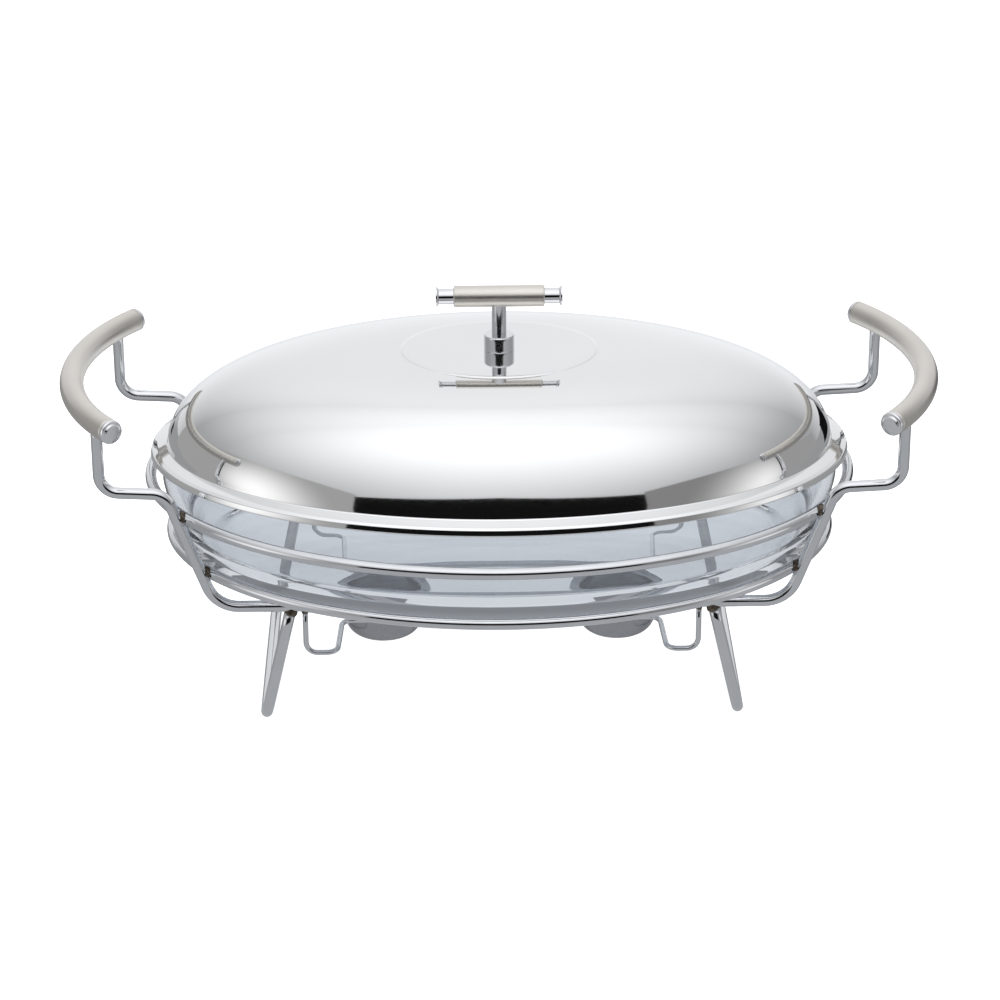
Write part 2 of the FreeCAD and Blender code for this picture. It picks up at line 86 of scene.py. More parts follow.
def unit(v):
    """Vectors divided by their own lengths."""
    v = np.asarray(v, float)
    return v / np.linalg.norm(v, axis=-1, keepdims=True)


def rounded(corners, radii, turn=7.0):
    """Straight runs between the corners, with a tangent arc in each inner corner.

    An arc's points are its centre plus the radius times (side sin t - inward cos t), where
    inward is the corner's bisector and side lies across it. A radius of 0 keeps the corner, and
    so does a half angle over STRAIGHT. The turn is the most degrees between an arc's points.
    """
    corners = np.asarray(corners, float)
    pieces = [corners[:1]]
    for before, corner, after, radius in zip(corners, corners[1:], corners[2:], radii):
        back = unit(before - corner)
        ahead = unit(after - corner)
        half = math.acos(np.clip(back @ ahead, -1, 1)) / 2
        if not radius or half > STRAIGHT:
            pieces.append(corner[None])
            continue
        inward = unit(back + ahead)
        side = unit(ahead - back)
        sweep = math.pi - 2 * half
        count = max(3, math.ceil(math.degrees(sweep) / turn))
        t = np.linspace(-sweep / 2, sweep / 2, count + 1)[:, None]
        centre = corner + inward * radius / math.sin(half)
        pieces.append(centre + radius * (side * np.sin(t) - inward * np.cos(t)))
    pieces.append(corners[-1:])
    return np.concatenate(pieces)


def divided(path, spacing):
    """The path with extra points on its long runs, none further apart than the spacing."""
    pieces = []
    for start, end in zip(path[:-1], path[1:]):
        count = max(1, math.ceil(np.linalg.norm(end - start) / spacing))
        pieces.append(start + (end - start) * np.linspace(0, 1, count, endpoint=False)[:, None])
    return np.concatenate(pieces + [path[-1:]])


def headings(path, closed):
    """Unit direction of travel at each point, from its two neighbours."""
    ahead = np.roll(path, -1, axis=0)
    back = np.roll(path, 1, axis=0)
    if not closed:
        ahead[-1] = path[-1]
        back[0] = path[0]
    return unit(ahead - back)


def rod(path, radius, reference, sides, closed=False):
    """A round rod: point + radius (across cos u + up sin u), u once around.

    Across is the heading crossed with the reference vector and up is across crossed with the
    heading.
    """
    heading = headings(path, closed)
    across = unit(np.cross(heading, reference))[:, None]
    up = np.cross(across[:, 0], heading)[:, None]
    u = np.linspace(0, 2 * np.pi, sides, endpoint=False)[None, :, None]
    return path[:, None] + radius * (across * np.cos(u) + up * np.sin(u))


def turned(profile, sides=96, spacing=0.001):
    """A turned shape: (r cos u, r sin u, z) for each (r, z) of the profile, in close rows."""
    profile = divided(profile, spacing)
    u = np.linspace(0, 2 * np.pi, sides, endpoint=False)
    r = profile[:, 0][:, None]
    z = np.broadcast_to(profile[:, 1][:, None], (len(profile), sides))
    return np.stack([r * np.cos(u), r * np.sin(u), z], axis=-1)


def oval_shape(profile, sides):
    """An oval shape: (a cos u, b sin u, z) for each (a, b, z) of the profile."""
    u = np.linspace(0, 2 * np.pi, sides, endpoint=False)
    a = profile[:, 0][:, None]
    b = profile[:, 1][:, None]
    z = np.broadcast_to(profile[:, 2][:, None], (len(profile), sides))
    return np.stack([a * np.cos(u), b * np.sin(u), z], axis=-1)


def patch(grid, wrap_rows=False):
    """Points, quads and triangles of a grid whose columns wrap round.

    Where the rows don't wrap too, a fan closes the first row and one closes the last.
    """
    rows, columns = grid.shape[:2]
    points = grid.reshape(-1, 3)
    i = np.arange(rows if wrap_rows else rows - 1)[:, None]
    column = np.arange(columns)
    following = (column + 1) % columns
    here, there = i * columns, (i + 1) % rows * columns
    corners = (here + column, here + following, there + following, there + column)
    quads = np.stack(corners, axis=-1).reshape(-1, 4)
    fans = np.empty((0, 3), int)
    if not wrap_rows:
        first = np.full(columns, len(points))
        last = first + 1
        top = (rows - 1) * columns
        start_fan = np.stack([first, following, column], axis=-1)
        end_fan = np.stack([last, top + column, top + following], axis=-1)
        fans = np.concatenate([start_fan, end_fan])
        ends = np.stack([grid[0].mean(axis=0), grid[-1].mean(axis=0)])
        points = np.concatenate([points, ends])
    return outward(points, quads, fans)


def outward(points, quads, fans):
    """Turns all faces round where the closed surface holds a negative volume.

    The volume is a sixth of the sum, over all triangles, of the first corner dotted with the
    cross product of the other two, measured from the middle of the points.
    """
    triangles = np.concatenate([quads[:, [0, 1, 2]], quads[:, [0, 2, 3]], fans])
    first, second, third = np.moveaxis((points - points.mean(axis=0))[triangles], 1, 0)
    if np.einsum("ij,ij->", first, np.cross(second, third)) < 0:
        return points, quads[:, ::-1], fans[:, ::-1]
    return points, quads, fans


def mirrored(grid, x=1, y=1):
    """The grid with its X and Y times 1 or -1."""
    return grid * np.array([x, y, 1.0])


def new_object(name, data):
    """One object of the data, in the scene."""
    made = bpy.data.objects.new(name, data)
    bpy.context.scene.collection.objects.link(made)
    return made


def add_piece(node, patches, look, body):
    """Makes one object of the patches, lets it ride on its body and stand for its node."""
    points, quads, fans, offset = [], [], [], 0
    for patch_points, patch_quads, patch_fans in patches:
        points.append(patch_points)
        quads.append(patch_quads + offset)
        fans.append(patch_fans + offset)
        offset += len(patch_points)
    points = np.concatenate(points)
    quads = np.concatenate(quads)
    fans = np.concatenate(fans)
    mesh = bpy.data.meshes.new(node + "_look")
    mesh.vertices.add(len(points))
    mesh.vertices.foreach_set("co", points.ravel())
    corners = np.concatenate([quads.ravel(), fans.ravel()])
    sizes = np.concatenate([np.full(len(quads), 4), np.full(len(fans), 3)])
    mesh.loops.add(len(corners))
    mesh.loops.foreach_set("vertex_index", corners)
    mesh.polygons.add(len(sizes))
    mesh.polygons.foreach_set("loop_start", np.cumsum(sizes) - sizes)
    mesh.polygons.foreach_set("use_smooth", np.ones(len(sizes), bool))
    mesh.update(calc_edges=True)
    mesh.validate()
    mesh.materials.append(finish(look))
    piece = new_object(node + "_look", mesh)
    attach(piece, body)
    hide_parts(node)


def add_wire(node, grid, closed=False):
    """One wire of the stand in bright plating. A closed one is a ring."""
    add_piece(node, [patch(grid, wrap_rows=closed)], "wire_chrome", "rack")


# Finishes

class ShaderTree:
    """A small helper that adds shader nodes to one tree."""

    def __init__(self, tree):
        self.tree = tree

    def add(self, kind, settings=None, inputs=None):
        """One shader node. Inputs that are sockets are linked, the others are set."""
        node = self.tree.nodes.new(kind)
        for key, value in (settings or {}).items():
            setattr(node, key, value)
        for key, value in (inputs or {}).items():
            if isinstance(value, bpy.types.NodeSocket):
                self.tree.links.new(value, node.inputs[key])
            else:
                node.inputs[key].default_value = value
        return node

    def place(self, stretch=(1, 1, 1)):
        """Object coordinates, stretched along each axis."""
        values = {"Vector": self.add("ShaderNodeTexCoord").outputs["Object"], "Scale": stretch}
        return self.add("ShaderNodeMapping", inputs=values).outputs["Vector"]

    def noise(self, scale, detail=3.0, rough=0.5, stretch=(1, 1, 1)):
        """Noise on the stretched Object coordinates."""
        values = {"Vector": self.place(stretch), "Scale": scale, "Detail": detail,
                  "Roughness": rough}
        return self.add("ShaderNodeTexNoise", inputs=values).outputs["Fac"]

    def between(self, value, low, high, start=0.0, end=1.0, step="LINEAR"):
        """The value's part between start and end, spread from low to high."""
        values = {"Value": value, "From Min": start, "From Max": end, "To Min": low, "To Max": high}
        kind = {"interpolation_type": step}
        return self.add("ShaderNodeMapRange", kind, values).outputs["Result"]

    def soft_between(self, value, low, high, start, end):
        """As between, but with a smooth step from low to high."""
        return self.between(value, low, high, start, end, "SMOOTHSTEP")

    def maths(self, operation, *values):
        kind = {"operation": operation}
        return self.add("ShaderNodeMath", kind, dict(enumerate(values))).outputs[0]

    def blend(self, factor, first, second):
        """A colour between the first and the second, which are the mix's inputs 6 and 7."""
        values = {"Factor": factor, 6: (*first, 1), 7: (*second, 1)}
        return self.add("ShaderNodeMix", {"data_type": "RGBA"}, values).outputs[2]

    def bump(self, height, strength, distance):
        values = {"Height": height, "Strength": strength, "Distance": distance}
        return self.add("ShaderNodeBump", inputs=values).outputs["Normal"]


class Finish(ShaderTree):
    """The shader nodes of one new material."""

    def __init__(self, name):
        self.material = bpy.data.materials.new(name)
        self.material.use_nodes = True
        super().__init__(self.material.node_tree)
        self.shader = self.tree.nodes["Principled BSDF"]

    def set(self, **values):
        """Sets or links the shader's own sockets, and gives the material."""
        for key, value in values.items():
            socket = self.shader.inputs[key.replace("_", " ")]
            if isinstance(value, bpy.types.NodeSocket):
                self.tree.links.new(value, socket)
            else:
                socket.default_value = value
        return self.material

    def glow_only(self, colour, strength):
        """A surface that reflects nothing and only glows."""
        return self.set(Base_Color=(0, 0, 0, 1), Roughness=1.0, Specular_IOR_Level=0.0,
                        Emission_Color=(*colour, 1), Emission_Strength=strength)


FINISHES = {}


def finish(name):
    """The finish of that name, made on first use."""
    if name not in FINISHES:
        FINISHES[name] = MAKERS[name]()
    return FINISHES[name]


def darker(tone, share):
    """A share of a colour."""
    return tuple(part * share for part in tone)


def wire_chrome():
    """Bright plating on drawn wire: faint ripples and small changes of gloss."""
    look = Finish("wire_chrome")
    broad = look.noise(60.0)
    fine = look.noise(900.0, detail=2.0)
    bright = settings().chrome_colour
    return look.set(
        Base_Color=look.blend(broad, darker(bright, 0.86), bright),
        Metallic=1.0,
        Roughness=look.between(fine, 0.05, 0.13),
        Normal=look.bump(broad, strength=0.08, distance=0.0006),
    )


def satin_nickel():
    """Warm satin plating with a fine grain in its gloss and a faint bump."""
    look = Finish("satin_nickel")
    grain = look.noise(1500.0, detail=2.0)
    broad = look.noise(40.0)
    bright = settings().nickel_colour
    return look.set(
        Base_Color=look.blend(broad, darker(bright, 0.88), bright),
        Metallic=1.0,
        Roughness=look.between(grain, 0.26, 0.40),
        Normal=look.bump(grain, strength=0.10, distance=0.0002),
    )


def cap_chrome():
    """Plain bright chrome of the small turned pieces."""
    look = Finish("cap_chrome")
    broad = look.noise(200.0)
    return look.set(
        Base_Color=look.blend(broad, (0.72, 0.72, 0.74), (0.80, 0.80, 0.82)),
        Metallic=1.0,
        Roughness=look.between(broad, 0.05, 0.12),
    )


def lid_mirror():
    """Mirror polish on pressed sheet: a very slight waviness and hair-fine wipe marks."""
    look = Finish("lid_mirror")
    broad = look.noise(14.0, detail=2.0)
    wipes = look.noise(220.0, detail=4.0, stretch=(1.0, 9.0, 4.0))
    return look.set(
        Base_Color=look.blend(broad, (0.80, 0.80, 0.80), (0.86, 0.86, 0.86)),
        Metallic=1.0,
        Roughness=look.between(wipes, 0.03, 0.07),
        Normal=look.bump(broad, strength=0.02, distance=0.002),
    )


def dish_glass():
    """Clear oven glass with a faint cool tint and a slightly uneven pressed surface.

    The glass is a little darker below the upper ring, as painted shade. A faint glow in the thick
    base stands for the light that runs along inside it.
    """
    look = Finish("dish_glass")
    broad = look.noise(30.0, detail=2.0)
    height = look.add("ShaderNodeSeparateXYZ", inputs={0: look.place()}).outputs["Z"]
    floor_top = box("glass_dish")[0][2] + settings().glass_floor
    ring = middle("upper_ring")[2]
    # painted shade: below the upper ring's height the tint drops to 0.91 of its brightness
    shade = look.soft_between(height, 0.91, 1.0, start=ring - 0.007, end=ring + 0.003)
    tint = look.blend(broad, (0.84, 0.86, 0.885), (0.87, 0.885, 0.905))
    shaded = look.add("ShaderNodeVectorMath", {"operation": "SCALE"}, {0: tint, "Scale": shade})
    glow = look.soft_between(height, 0.045, 0.0, start=floor_top + 0.001,
                             end=floor_top + 0.005)
    return look.set(
        Base_Color=shaded.outputs[0],
        Emission_Color=(0.88, 0.93, 1.0, 1),
        Emission_Strength=glow,
        Roughness=look.between(broad, 0.0, 0.015),
        Transmission_Weight=1.0,
        IOR=1.25,
        Normal=look.bump(broad, strength=0.01, distance=0.001),
    )


def cup_steel():
    """Drawn sheet, with fine rings left by the spinning tool."""
    look = Finish("cup_steel")
    grain = look.noise(500.0)
    rings = look.noise(400.0, detail=2.0, stretch=(0.2, 0.2, 6.0))
    return look.set(
        Base_Color=look.blend(grain, (0.38, 0.385, 0.41), (0.46, 0.465, 0.49)),
        Metallic=1.0,
        Roughness=look.between(rings, 0.08, 0.16),
        Normal=look.bump(rings, strength=0.03, distance=0.0002),
    )


def weld_bronze():
    """Heat-tinted weld metal: brown and grey patches on a rough skin."""
    look = Finish("weld_bronze")
    patches = look.noise(500.0, detail=4.0, rough=0.6)
    contrast = look.between(patches, 0, 1, start=0.35, end=0.65)
    return look.set(
        Base_Color=look.blend(contrast, (0.03, 0.022, 0.015), (0.15, 0.12, 0.095)),
        Metallic=look.between(patches, 0.6, 1.0),
        Roughness=look.between(patches, 0.25, 0.55),
        Normal=look.bump(patches, strength=0.5, distance=0.0006),
    )


def plain_steel():
    """Plain plated hardware inside the lid."""
    look = Finish("plain_steel")
    grain = look.noise(700.0)
    return look.set(
        Base_Color=look.blend(grain, (0.55, 0.54, 0.50), (0.68, 0.67, 0.64)),
        Metallic=1.0,
        Roughness=look.between(grain, 0.22, 0.38),
        Normal=look.bump(grain, strength=0.15, distance=0.0002),
    )


MAKERS = {maker.__name__: maker for maker in (
    wire_chrome, satin_nickel, cap_chrome, lid_mirror, dish_glass, cup_steel, weld_bronze,
    plain_steel,
)}


# Settings

def length(name, description, default):
    return FloatProperty(name=name, description=description, default=float(default),
                         unit="LENGTH", precision=5)


def number(name, description, default):
    return FloatProperty(name=name, description=description, default=default, min=0.1)


def angle(name, description, degrees):
    return FloatProperty(name=name, description=description, default=math.radians(degrees),
                         unit="ROTATION")


def colour(name, description, default):
    return FloatVectorProperty(name=name, description=description, default=default,
                               subtype="COLOR", size=3)


class ChafingDishSettings(PropertyGroup):
    """Sizes and colours of the dressed pieces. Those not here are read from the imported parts."""
    wire_width: length("Stand wire", "Diameter of the stand's thick wire",
                       half_size("upper_ring")[2] * 2)
    thin_width: length("Thin wire", "Diameter of the burner rack's wire",
                       half_size("left_burner_ring")[2] * 2)
    bend_radius: length("Wire bend", "Centreline radius of the thick wire's bends", 0.010)
    cradle_bend: length("Cradle bend", "Centreline radius of the bends under the dish", 0.017)
    rack_bend: length("Rack bend", "Centreline radius of the thin wire's bends", 0.006)
    rack_step: length("Rack step", "Length of the thin wire's short runs beside its ends", 0.016)
    rack_slant: length("Rack slant", "How far the thin wire's cross runs lean inwards", 0.0018)
    leg_splay: angle("Leg splay", "Lean of the legs away from upright", 13.3)
    weld_press: length("Weld press", "How deep two welded wires press into each other", 0.001)
    bead_size: length("Weld bead", "Radius of the weld beads on the thick wire", 0.0035)
    thin_bead_size: length("Thin weld bead", "Radius of the weld beads on the thin wire", 0.0019)
    shoulder_height: length("Shoulder height", "Height where the main wires turn outwards", 0.1318)
    shoulder_rise: length("Shoulder rise", "How far the shoulders climb on the way out", 0.0016)
    tube_overhang: length("Tube overhang", "How far a tube goes on past its uprights", 0.0145)
    tube_wall: length("Tube wall", "Thickness of the handle tubes' wall", 0.00125)
    tube_edge: length("Tube edge", "Chamfer round the handle tubes' ends", 0.0004)
    cup_wall: length("Cup wall", "Thickness of the cups' sheet", 0.0008)
    cup_radius: length("Cup radius", "Outside radius of the cups under their flange", 0.0207)
    cup_bottom_bend: length("Cup bottom bend", "Outside radius of the cups' lower bend", 0.0087)
    sheet: length("Sheet", "Thickness of the lid's sheet", 0.0008)
    skirt_run_x: length("Skirt run along X", "How far the skirt leans in at the ends", 0.0036)
    skirt_run_y: length("Skirt run along Y", "How far the skirt leans in at the sides", 0.0017)
    skirt_height: length("Skirt height", "Height of the skirt from the hem to the brim", 0.004)
    skirt_upright: length("Upright skirt", "Height of the skirt's steep lower part", 0.0026)
    skirt_lean: length("Skirt lean", "How far the steep lower part leans in", 0.0007)
    brim_run_x: length("Brim run along X", "Width of the brim at the lid's ends", 0.0052)
    brim_run_y: length("Brim run along Y", "Width of the brim at the lid's sides", 0.0065)
    brim_rise: length("Brim rise", "How far the brim climbs inwards to the dome", 0.0013)
    brim_round: length("Brim rounding", "Radius of the bends between skirt and brim", 0.0014)
    foot_round: length("Foot rounding", "Radius of the bend between brim and dome", 0.0011)
    glass_wall: length("Glass wall", "Thickness of the dish's wall", 0.005)
    glass_floor: length("Glass floor", "Thickness of the dish's floor", 0.006)
    glass_base_x: length("Glass base along X", "Half length of the dish's flat base", 0.159)
    glass_base_y: length("Glass base along Y", "Half width of the dish's flat base", 0.094)
    glass_belly: length("Glass belly", "How far the wall swells between floor and lip", 0.0038)
    glass_lip: length("Glass lip", "Height of the dish's upright lip", 0.006)
    glass_lip_flare: length("Glass lip flare", "How far the lip leans out to its rim", 0.0006)
    plateau_x: length("Plateau half length", "Half length of the raised oval on the lid", 0.0515)
    plateau_y: length("Plateau half width", "Half width of the raised oval on the lid", 0.040)
    plateau_step: length("Plateau step", "How far the raised oval stands over the dome", 0.0003)
    step_width: length("Step width", "Width of the smooth step up to the raised oval", 0.0016)
    dome_roundness_x: number("Dome roundness along X", "Exponent of the dome's long side", 4.0)
    dome_roundness_y: number("Dome roundness along Y", "Exponent of the dome's short side", 5.0)
    dome_flatness_x: number("Dome flatness along X", "Exponent of the long side's rise", 1.85)
    dome_flatness_y: number("Dome flatness along Y", "Exponent of the short side's rise", 1.0)
    chrome_colour: colour("Chrome", "Reflection colour of the bright wire", (0.75, 0.76, 0.78))
    nickel_colour: colour("Nickel", "Reflection colour of the satin handles", (0.73, 0.70, 0.65))
    wire_sides: IntProperty(name="Wire sides", description="Facets around the thick wire",
                            default=32, min=12)
    thin_sides: IntProperty(name="Thin wire sides", description="Facets around the thin wire",
                            default=20, min=8)


def settings():
    """The scene's settings of this add-on."""
    return bpy.context.scene.chafing_dish


# The stand's lines

OVAL_TURNS = np.radians([0, 22, 42, 64, 90])


def oval_radii(half_x, half_y):
    """Radii of the arcs that make a quarter of a ring.

    Each middle arc has the ellipse's radius of curvature (a b)^2 / (a^2 cos^2 + b^2 sin^2)^1.5
    at its middle. The first and last arc are solved so that the quarter ends on both axes.
    """
    first, last = OVAL_TURNS[:-1], OVAL_TURNS[1:]
    mid = (first + last) / 2
    spread = (half_x * np.cos(mid)) ** 2 + (half_y * np.sin(mid)) ** 2
    radii = (half_x * half_y) ** 2 / spread ** 1.5
    along_x = np.cos(first) - np.cos(last)
    along_y = np.sin(last) - np.sin(first)
    left = [half_x - (radii * along_x)[1:-1].sum(), half_y - (radii * along_y)[1:-1].sum()]
    radii[[0, -1]] = np.linalg.solve([along_x[[0, -1]], along_y[[0, -1]]], left)
    return radii


def oval_point(half_x, half_y, angle):
    """X and Y of a ring's line where its outward normal has this angle.

    In the first quarter x is a plus the sum of r (cos t - cos start) over the arcs, and y is the
    sum of r (sin t - sin start), with t kept inside each arc. The other quarters mirror it.
    """
    angle = np.asarray(angle, float)
    fold = np.arctan2(np.abs(np.sin(angle)), np.abs(np.cos(angle)))
    t = np.clip(fold[..., None], OVAL_TURNS[:-1], OVAL_TURNS[1:])
    radii = oval_radii(half_x, half_y)
    x = half_x + (radii * (np.cos(t) - np.cos(OVAL_TURNS[:-1]))).sum(axis=-1)
    y = (radii * (np.sin(t) - np.sin(OVAL_TURNS[:-1]))).sum(axis=-1)
    return x * np.sign(np.cos(angle)), y * np.sign(np.sin(angle))


def ring_line(node, count=288, off_axis=0.001):
    """The closed centreline of a ring of the stand, with no point just on an axis."""
    size = half_size(node) - settings().wire_width / 2
    angle = np.linspace(0, 2 * np.pi, count, endpoint=False) + off_axis
    x, y = oval_point(size[0], size[1], angle)
    return np.stack([x, y, np.full(count, middle(node)[2])], axis=-1)


def wire_crossing(node, lean):
    """Where the rear right slant crosses a ring: its x, and the unit vector between the two.

    The slant passes outside the ring along (lean, 0, 1), one wire less the weld's press away.
    Each pass looks the ring's angle up in a table of its first quarter.
    """
    size = half_size(node) - settings().wire_width / 2
    reach = settings().wire_width - settings().weld_press
    plane = middle("rear_main_wire")[1]
    angles = np.linspace(0.05, 1.5, 4000)
    xs, ys = oval_point(size[0], size[1], angles)
    y = plane
    for _ in range(PASSES):
        angle = np.interp(y, ys, angles)
        tangent = np.array([-math.sin(angle), math.cos(angle), 0])
        between = unit(np.cross(tangent, [lean, 0, 1]))
        y = plane - reach * between[1]
    return np.interp(y, ys, xs) + reach * between[0], between


def slant_lean():
    """Run over rise of the slants, set so that they touch both rings."""
    lean = 0.4
    for _ in range(PASSES):
        low = wire_crossing("lower_ring", lean)[0]
        high = wire_crossing("upper_ring", lean)[0]
        lean = (high - low) / (middle("upper_ring")[2] - middle("lower_ring")[2])
    return lean


def slant_point(height):
    """The point of the rear right slant's centreline at a height."""
    lean = slant_lean()
    x = wire_crossing("lower_ring", lean)[0] + lean * (height - middle("lower_ring")[2])
    return np.array([x, middle("rear_main_wire")[1], height])


def cradle_height():
    """Height of the centreline of the runs that carry the dish."""
    return box("rear_main_wire")[0][2] + settings().wire_width / 2


def main_line():
    """The rear main wire's centreline, from the left upright to the right one."""
    s = settings()
    low, high = box("rear_main_wire")
    upright = high[0] - s.wire_width / 2
    plane = (low[1] + high[1]) / 2
    half = np.array([
        slant_point(cradle_height()),
        slant_point(s.shoulder_height),
        [upright, plane, s.shoulder_height + s.shoulder_rise],
        [upright, plane, high[2]],
    ])
    corners = np.concatenate([half[::-1] * [-1, 1, 1], half])
    bends = [s.bend_radius] * 2 + [s.cradle_bend] * 2 + [s.bend_radius] * 2
    return divided(rounded(corners, bends), RUN_SPACING)


class OBJECT_OT_chafing_main_wires(Operator):
    """Two thick wires that cradle the dish, rise outside both rings and end in the handles"""
    bl_idname = "object.chafing_main_wires"
    bl_label = "Main Wires"

    def execute(self, context):
        s = settings()
        grid = rod(main_line(), s.wire_width / 2, (0, 1, 0), s.wire_sides)
        for name, side in (("rear_main_wire", 1), ("front_main_wire", -1)):
            add_wire(name, mirrored(grid, y=side))
        return {"FINISHED"}


class OBJECT_OT_chafing_rings(Operator):
    """The upper and the lower oval ring around the dish"""
    bl_idname = "object.chafing_rings"
    bl_label = "Oval Rings"

    def execute(self, context):
        s = settings()
        for name in ("upper_ring", "lower_ring"):
            grid = rod(ring_line(name), s.wire_width / 2, (0, 0, 1), s.wire_sides, closed=True)
            add_wire(name, grid, closed=True)
        return {"FINISHED"}


class OBJECT_OT_chafing_legs(Operator):
    """Two leg loops: down from the front main wire, along the table and up to the rear one"""
    bl_idname = "object.chafing_legs"
    bl_label = "Leg Loops"

    def execute(self, context):
        s = settings()
        low, high = box("right_leg_loop")
        r = s.wire_width / 2
        foot = high[0] - r
        plane = high[1] - r
        splay = math.atan2(foot - leg_top(), cradle_height() - r)
        in_weld = cradle_height() - r / 2
        corners = [(leg_top(), -plane, in_weld), (foot, -plane, r),
                   (foot, plane, r), (leg_top(), plane, in_weld)]
        line = divided(rounded(corners, [s.bend_radius] * 2), RUN_SPACING)
        grid = rod(line, r, (math.cos(splay), 0, math.sin(splay)), s.wire_sides)
        for name, side in (("right_leg_loop", 1), ("left_leg_loop", -1)):
            add_wire(name, mirrored(grid, x=side))
        return {"FINISHED"}


def leg_top():
    """X of a leg loop's line where it meets the cradle wire."""
    s = settings()
    return box("right_leg_loop")[0][0] + s.wire_width / 2 * math.cos(s.leg_splay)


def rack_line():
    """The rear burner wire's centreline."""
    s = settings()
    low, high = box("rear_burner_wire")
    r = s.thin_width / 2
    height = low[2] + r
    plane = high[1] - r
    inner = low[1] + r
    end = high[0] - r
    step = end - s.rack_step
    in_weld = cradle_height() - s.wire_width * 0.3
    right = np.array([
        (step - s.rack_slant, inner, height),
        (step, plane, height),
        (end, plane, height),
        (end, plane, in_weld),
    ])
    corners = np.concatenate([right[::-1] * [-1, 1, 1], right])
    return divided(rounded(corners, [s.rack_bend] * 6), RUN_SPACING)


class OBJECT_OT_chafing_burner_rack(Operator):
    """The thin wires under the dish and the two rings that hold the cups"""
    bl_idname = "object.chafing_burner_rack"
    bl_label = "Burner Rack"

    def execute(self, context):
        s = settings()
        along_no_run = unit((0.25, 0.35, 1.0))
        grid = rod(rack_line(), s.thin_width / 2, along_no_run, s.thin_sides)
        for name, side in (("rear_burner_wire", 1), ("front_burner_wire", -1)):
            add_wire(name, mirrored(grid, y=side))
        for name in ("left_burner_ring", "right_burner_ring"):
            u = np.linspace(0, 2 * np.pi, 120, endpoint=False)[:, None]
            radius = half_size(name)[0] - s.thin_width / 2
            line = middle(name) + radius * np.concatenate([np.cos(u), np.sin(u), u * 0], axis=-1)
            grid = rod(line, s.thin_width / 2, (0, 0, 1), s.thin_sides, closed=True)
            add_wire(name, grid, closed=True)
        return {"FINISHED"}


def bead(centre, radius, seed, pole=0.15):
    """A lumpy weld bead: a ball whose radius swells by small sines of its two angles.

    The angle from the top, v, keeps a little away from both poles, where the fans close it.
    """
    u = np.linspace(0, 2 * np.pi, 28, endpoint=False)[None, :]
    v = np.linspace(pole, np.pi - pole, 15)[:, None]
    lumps = np.sin(3 * u + seed) * np.sin(2 * v + seed * 2)
    lumps = lumps + 0.6 * np.sin(5 * u - seed * 3 + 2 * v)
    r = radius * (1 + 0.05 * lumps * np.sin(v))
    ball = [r * np.sin(v) * np.cos(u), r * np.sin(v) * np.sin(u), r * np.cos(v) + u * 0]
    return patch(np.stack(ball, axis=-1) + centre)


def bead_places():
    """Centre and size of the beads in the rear right quarter."""
    s = settings()
    r = s.wire_width / 2
    plane = middle("rear_main_wire")[1]
    lean = slant_lean()
    ring_sink = 0.0005
    places = []
    for node in ("upper_ring", "lower_ring"):
        x, between = wire_crossing(node, lean)
        centre = np.array([x, plane, middle(node)[2]]) - between * (r - s.weld_press / 2)
        places.append((centre, s.bead_size))
    low, high = box("rear_burner_wire")
    thin = s.thin_width / 2
    places.append((np.array([leg_top(), plane, cradle_height() - r]), s.bead_size))
    places.append((np.array([high[0] - thin, plane, cradle_height() - r]), s.thin_bead_size))
    ring = middle("right_burner_ring")
    places.append((np.array([ring[0], low[1], ring[2] - ring_sink]), s.thin_bead_size))
    return places


class OBJECT_OT_chafing_welds(Operator):
    """The weld beads at all crossings of the stand"""
    bl_idname = "object.chafing_welds"
    bl_label = "Weld Beads"

    def execute(self, context):
        seed_step = 1.7
        patches = []
        for centre, radius in bead_places():
            for x, y in ((1, 1), (-1, 1), (1, -1), (-1, -1)):
                patches.append(bead(centre * [x, y, 1], radius, len(patches) * seed_step))
        add_piece("weld_beads", patches, "weld_bronze", "rack")
        return {"FINISHED"}


# Handles

def handle_curve():
    """The right handle's curve: radius, centre x, height, half angle and the tube's own radius.

    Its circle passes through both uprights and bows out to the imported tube's outermost point.
    """
    s = settings()
    low, high = box("right_handle_tube")
    tube = (high[2] - low[2]) / 2
    upright = box("rear_main_wire")[1][0] - s.wire_width / 2
    reach = middle("rear_main_wire")[1]
    bow = high[0] - tube - upright
    radius = (reach ** 2 + bow ** 2) / (2 * bow)
    half = math.asin(reach / radius) + s.tube_overhang / radius
    return radius, upright + bow - radius, (low[2] + high[2]) / 2, half, tube


class OBJECT_OT_chafing_handles(Operator):
    """The bowed handle tubes"""
    bl_idname = "object.chafing_handles"
    bl_label = "Handle Tubes"

    def execute(self, context):
        s = settings()
        radius, centre, height, half, tube = handle_curve()
        edge = s.tube_edge
        bore = tube - s.tube_wall
        t = np.linspace(-half, half, 97)[1:-1]
        inner = t[::4][::-1]
        end = np.array([(-half, bore), (-half, tube - edge), (-half + edge / radius, tube)])
        outside = np.column_stack([t, np.full(len(t), tube)])
        inside = np.column_stack([inner, np.full(len(inner), bore)])
        rows = np.concatenate([end, outside, end[::-1] * [-1, 1], inside])
        angle, r = rows.T[:, :, None]
        u = np.linspace(0, 2 * np.pi, 56, endpoint=False)[None]
        out = radius + r * np.cos(u)
        grid = np.stack([centre + out * np.cos(angle), out * np.sin(angle),
                         height + r * np.sin(u) + angle * 0], axis=-1)
        for name, side in (("right_handle_tube", 1), ("left_handle_tube", -1)):
            bowed = patch(mirrored(grid, x=side), wrap_rows=True)
            add_piece(name, [bowed], "satin_nickel", "rack")
        return {"FINISHED"}


